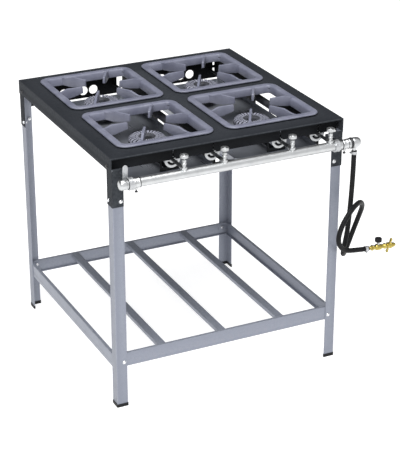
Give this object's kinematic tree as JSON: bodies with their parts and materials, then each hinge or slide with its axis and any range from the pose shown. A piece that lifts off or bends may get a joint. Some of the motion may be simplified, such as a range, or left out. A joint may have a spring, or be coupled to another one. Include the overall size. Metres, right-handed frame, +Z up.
{
  "type": "gas cooking stand",
  "caption": "Gas cooking stand with lift-off grates and burner crowns, pull-out drip trays, front gas manifold with taps, slatted shelf on angle legs, and a hose with a cylinder tap.",
  "frame": {"origin": "on the floor, under the middle of the stand without its hose", "axes": "+X to the side that has the hose, -Y to the front where the taps are, +Z up"},
  "size_m": [0.874, 0.8509, 0.798],
  "materials": {
    "top_enamel": "semi-gloss",
    "frame_paint": "satin metallic",
    "grate_iron": "satin enamel",
    "burner_iron": "matte",
    "tray_steel": "dulled",
    "chrome": "polished",
    "shutter_steel": "brushed",
    "bolt_steel": "bright zinc",
    "black_plastic": "matte",
    "hose_rubber": "matte",
    "tap_brass": "machined"
  },
  "bodies": {
    "stand": {"top_panel": "top_enamel", "front_apron": "top_enamel", "back_panel": "top_enamel", "front_left_socket": "top_enamel", "front_right_socket": "top_enamel", "rear_left_socket": "top_enamel", "rear_right_socket": "top_enamel", "front_left_leg": "frame_paint", "front_right_leg": "frame_paint", "rear_left_leg": "frame_paint", "rear_right_leg": "frame_paint", "leg_caps": "black_plastic", "front_rail": "frame_paint", "rear_rail": "frame_paint", "left_rail": "frame_paint", "right_rail": "frame_paint", "left_shelf_slat": "frame_paint", "middle_shelf_slat": "frame_paint", "right_shelf_slat": "frame_paint", "rail_bolts": "bolt_steel", "socket_bolts": "bolt_steel", "tray_bars": "top_enamel", "left_guard_plate": "top_enamel", "right_guard_plate": "top_enamel", "burner_supports": "top_enamel", "front_left_burner": "burner_iron", "front_right_burner": "burner_iron", "rear_left_burner": "burner_iron", "rear_right_burner": "burner_iron", "manifold_tube": "chrome", "manifold_end_cap": "chrome", "manifold_collars": "chrome", "manifold_brackets": "shutter_steel", "tap_bodies": "chrome", "inlet_elbow": "chrome", "gas_hose": "hose_rubber", "hose_clamps": "shutter_steel", "cylinder_tap_body": "tap_brass"},
    "front_left_crown": {"front_left_crown": "grate_iron"},
    "front_left_air_shutter": {"front_left_air_shutter": "shutter_steel"},
    "front_left_grate": {"front_left_grate": "grate_iron"},
    "front_left_tap_knob": {"front_left_tap_knob": "chrome"},
    "front_right_crown": {"front_right_crown": "grate_iron"},
    "front_right_air_shutter": {"front_right_air_shutter": "shutter_steel"},
    "front_right_grate": {"front_right_grate": "grate_iron"},
    "front_right_tap_knob": {"front_right_tap_knob": "chrome"},
    "rear_left_crown": {"rear_left_crown": "grate_iron"},
    "rear_left_air_shutter": {"rear_left_air_shutter": "shutter_steel"},
    "rear_left_grate": {"rear_left_grate": "grate_iron"},
    "rear_left_tap_knob": {"rear_left_tap_knob": "chrome"},
    "rear_right_crown": {"rear_right_crown": "grate_iron"},
    "rear_right_air_shutter": {"rear_right_air_shutter": "shutter_steel"},
    "rear_right_grate": {"rear_right_grate": "grate_iron"},
    "rear_right_tap_knob": {"rear_right_tap_knob": "chrome"},
    "left_drip_tray": {"left_drip_tray": "tray_steel"},
    "right_drip_tray": {"right_drip_tray": "tray_steel"},
    "cylinder_tap_knob": {"cylinder_tap_knob": "black_plastic"},
    "cylinder_wing_nut": {"cylinder_wing_nut": "tap_brass"}
  },
  "joints": [
    {"name": "front_left_tap_turn", "type": "hinge", "parent": "stand", "child": "front_left_tap_knob", "pos_m": [-0.169, -0.383, 0.768], "axis": [0, 0, 1], "range_deg": [0, 90]},
    {"name": "front_right_tap_turn", "type": "hinge", "parent": "stand", "child": "front_right_tap_knob", "pos_m": [0.169, -0.383, 0.768], "axis": [0, 0, 1], "range_deg": [0, 90]},
    {"name": "rear_left_tap_turn", "type": "hinge", "parent": "stand", "child": "rear_left_tap_knob", "pos_m": [-0.045, -0.383, 0.768], "axis": [0, 0, 1], "range_deg": [0, 90]},
    {"name": "rear_right_tap_turn", "type": "hinge", "parent": "stand", "child": "rear_right_tap_knob", "pos_m": [0.293, -0.383, 0.768], "axis": [0, 0, 1], "range_deg": [0, 90]},
    {"name": "front_left_shutter_turn", "type": "hinge", "parent": "stand", "child": "front_left_air_shutter", "pos_m": [-0.169, -0.3065, 0.7355], "axis": [0, 1, 0], "range_deg": [0, 90]},
    {"name": "front_right_shutter_turn", "type": "hinge", "parent": "stand", "child": "front_right_air_shutter", "pos_m": [0.169, -0.3065, 0.7355], "axis": [0, 1, 0], "range_deg": [0, 90]},
    {"name": "rear_left_shutter_turn", "type": "hinge", "parent": "stand", "child": "rear_left_air_shutter", "pos_m": [-0.045, -0.3065, 0.7355], "axis": [0, 1, 0], "range_deg": [0, 90]},
    {"name": "rear_right_shutter_turn", "type": "hinge", "parent": "stand", "child": "rear_right_air_shutter", "pos_m": [0.293, -0.3065, 0.7355], "axis": [0, 1, 0], "range_deg": [0, 90]},
    {"name": "front_left_grate_lift", "type": "slide", "parent": "stand", "child": "front_left_grate", "axis": [0, 0, 1], "range_m": [0, 0.05]},
    {"name": "front_right_grate_lift", "type": "slide", "parent": "stand", "child": "front_right_grate", "axis": [0, 0, 1], "range_m": [0, 0.05]},
    {"name": "rear_left_grate_lift", "type": "slide", "parent": "stand", "child": "rear_left_grate", "axis": [0, 0, 1], "range_m": [0, 0.05]},
    {"name": "rear_right_grate_lift", "type": "slide", "parent": "stand", "child": "rear_right_grate", "axis": [0, 0, 1], "range_m": [0, 0.05]},
    {"name": "front_left_crown_lift", "type": "slide", "parent": "stand", "child": "front_left_crown", "axis": [0, 0, 1], "range_m": [0, 0.08]},
    {"name": "front_right_crown_lift", "type": "slide", "parent": "stand", "child": "front_right_crown", "axis": [0, 0, 1], "range_m": [0, 0.08]},
    {"name": "rear_left_crown_lift", "type": "slide", "parent": "stand", "child": "rear_left_crown", "axis": [0, 0, 1], "range_m": [0, 0.08]},
    {"name": "rear_right_crown_lift", "type": "slide", "parent": "stand", "child": "rear_right_crown", "axis": [0, 0, 1], "range_m": [0, 0.08]},
    {"name": "left_tray_slide", "type": "slide", "parent": "stand", "child": "left_drip_tray", "axis": [0, -1, 0], "range_m": [0, 0.4]},
    {"name": "right_tray_slide", "type": "slide", "parent": "stand", "child": "right_drip_tray", "axis": [0, -1, 0], "range_m": [0, 0.4]},
    {"name": "cylinder_tap_turn", "type": "hinge", "parent": "stand", "child": "cylinder_tap_knob", "pos_m": [0.44694, -0.42277, 0.40811], "axis": [0, 0, 1], "range_deg": [0, 90]},
    {"name": "wing_nut_spin", "type": "hinge", "parent": "stand", "child": "cylinder_wing_nut", "pos_m": [0.48387, -0.42483, 0.38909], "axis": [0.9981, -0.0554, -0.0277], "continuous": true}
  ]
}
